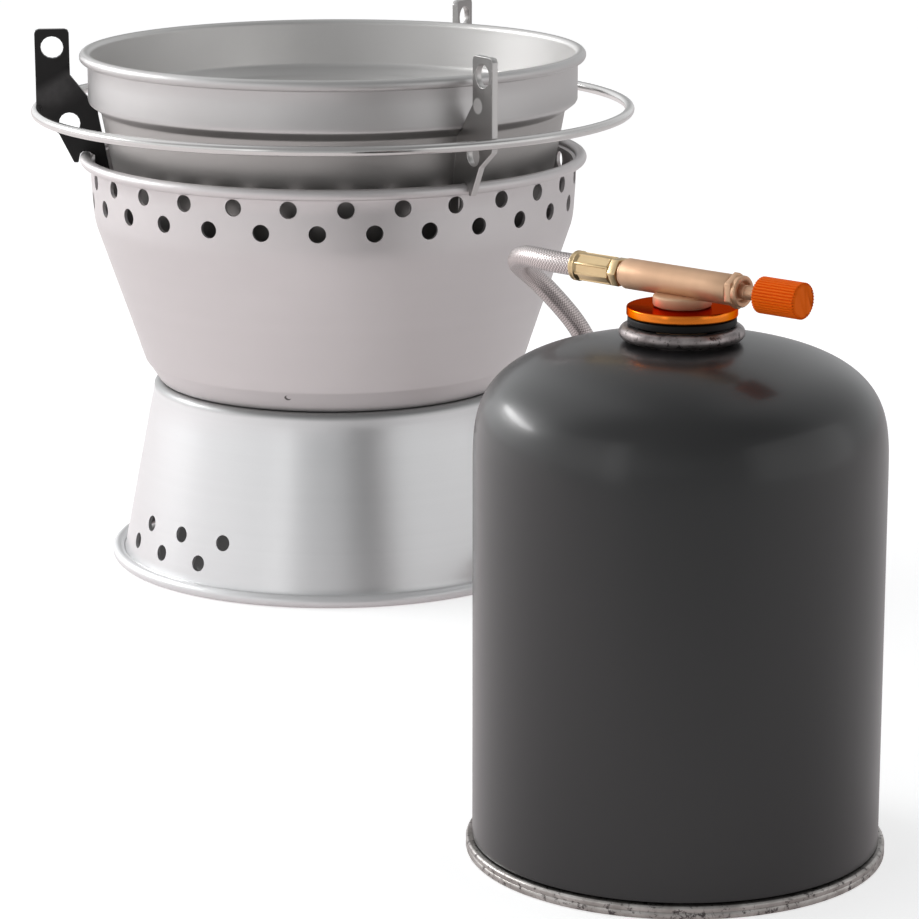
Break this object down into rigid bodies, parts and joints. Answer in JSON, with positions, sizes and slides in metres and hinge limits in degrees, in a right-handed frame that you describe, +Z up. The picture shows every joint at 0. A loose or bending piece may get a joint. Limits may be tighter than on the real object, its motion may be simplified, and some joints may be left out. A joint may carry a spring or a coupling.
{
  "type": "storm cooker",
  "caption": "Camp storm cooker: perforated windshield, wire ring with pot supports, pot and gas burner, joined by a braided hose to a valve on a gas canister.",
  "frame": {"origin": "centre of the footprint of cooker and canister together, on the surface that they stand on", "axes": "+Z up; -Y from the cooker towards the canister and the picture's camera; +X to the right as seen from there"},
  "size_m": [0.2632, 0.4724, 0.1861],
  "materials": {
    "bright_aluminium": "satin",
    "spun_aluminium": "satin, finely spun",
    "polished_steel": "polished",
    "black_steel": "satin black",
    "brass": "machined",
    "bronze": "machined, copper toned",
    "steel_braid": "braided",
    "orange_knob": "matte, knurled",
    "orange_anodised": "anodised",
    "black_rubber": "matte",
    "charcoal_paint": "satin",
    "tinned_steel": "bare, lightly worn"
  },
  "bodies": {
    "base": {"lower_windshield": "bright_aluminium", "burner_bracket": "polished_steel", "mixing_tube": "brass", "burner_nut": "brass", "burner_cup": "polished_steel", "burner_cap": "brass", "burner_jet": "brass", "burner_elbow": "brass", "burner_hose_nut": "brass", "burner_hose_ferrule": "brass", "hose": "steel_braid", "valve_hose_ferrule": "brass", "valve_hose_nut": "brass", "valve_body": "bronze", "valve_disc": "orange_anodised", "valve_gasket": "black_rubber", "neck_seal": "black_rubber", "valve_opener_pin": "brass", "packing_nut": "bronze"},
    "windshield_top": {"upper_windshield": "spun_aluminium"},
    "pot_support": {"support_ring": "polished_steel", "support_left": "black_steel", "support_right": "polished_steel", "support_back": "polished_steel"},
    "cooking_pot": {"pot": "spun_aluminium"},
    "valve_control": {"knob": "orange_knob", "spindle": "brass"},
    "gas_canister": {"canister_shell": "charcoal_paint", "canister_base": "tinned_steel", "canister_collar": "tinned_steel", "canister_valve_core": "black_rubber"},
    "canister_pin": {"canister_valve_pin": "polished_steel"}
  },
  "joints": [
    {"name": "windshield_lift", "type": "slide", "parent": "base", "child": "windshield_top", "axis": [0, 0, 1], "range_m": [0, 0.1]},
    {"name": "support_lift", "type": "slide", "parent": "windshield_top", "child": "pot_support", "axis": [0, 0, 1], "range_m": [0, 0.08]},
    {"name": "pot_lift", "type": "slide", "parent": "pot_support", "child": "cooking_pot", "axis": [0, 0, 1], "range_m": [0, 0.1]},
    {"name": "knob_turn", "type": "hinge", "parent": "base", "child": "valve_control", "pos_m": [0.07482, -0.17944, 0.1559], "axis": [0.7431, -0.6691, 0], "range_deg": [0, 720]},
    {"name": "canister_unscrew", "type": "hinge", "parent": "base", "child": "gas_canister", "pos_m": [0.07482, -0.17944, 0], "axis": [0, 0, 1], "range_deg": [-1260, 0]},
    {"name": "canister_pin_press", "type": "slide", "parent": "gas_canister", "child": "canister_pin", "axis": [0, 0, 1], "range_m": [-0.001, 0], "stiffness_N_per_m": 500, "springref_m": 0.001}
  ]
}
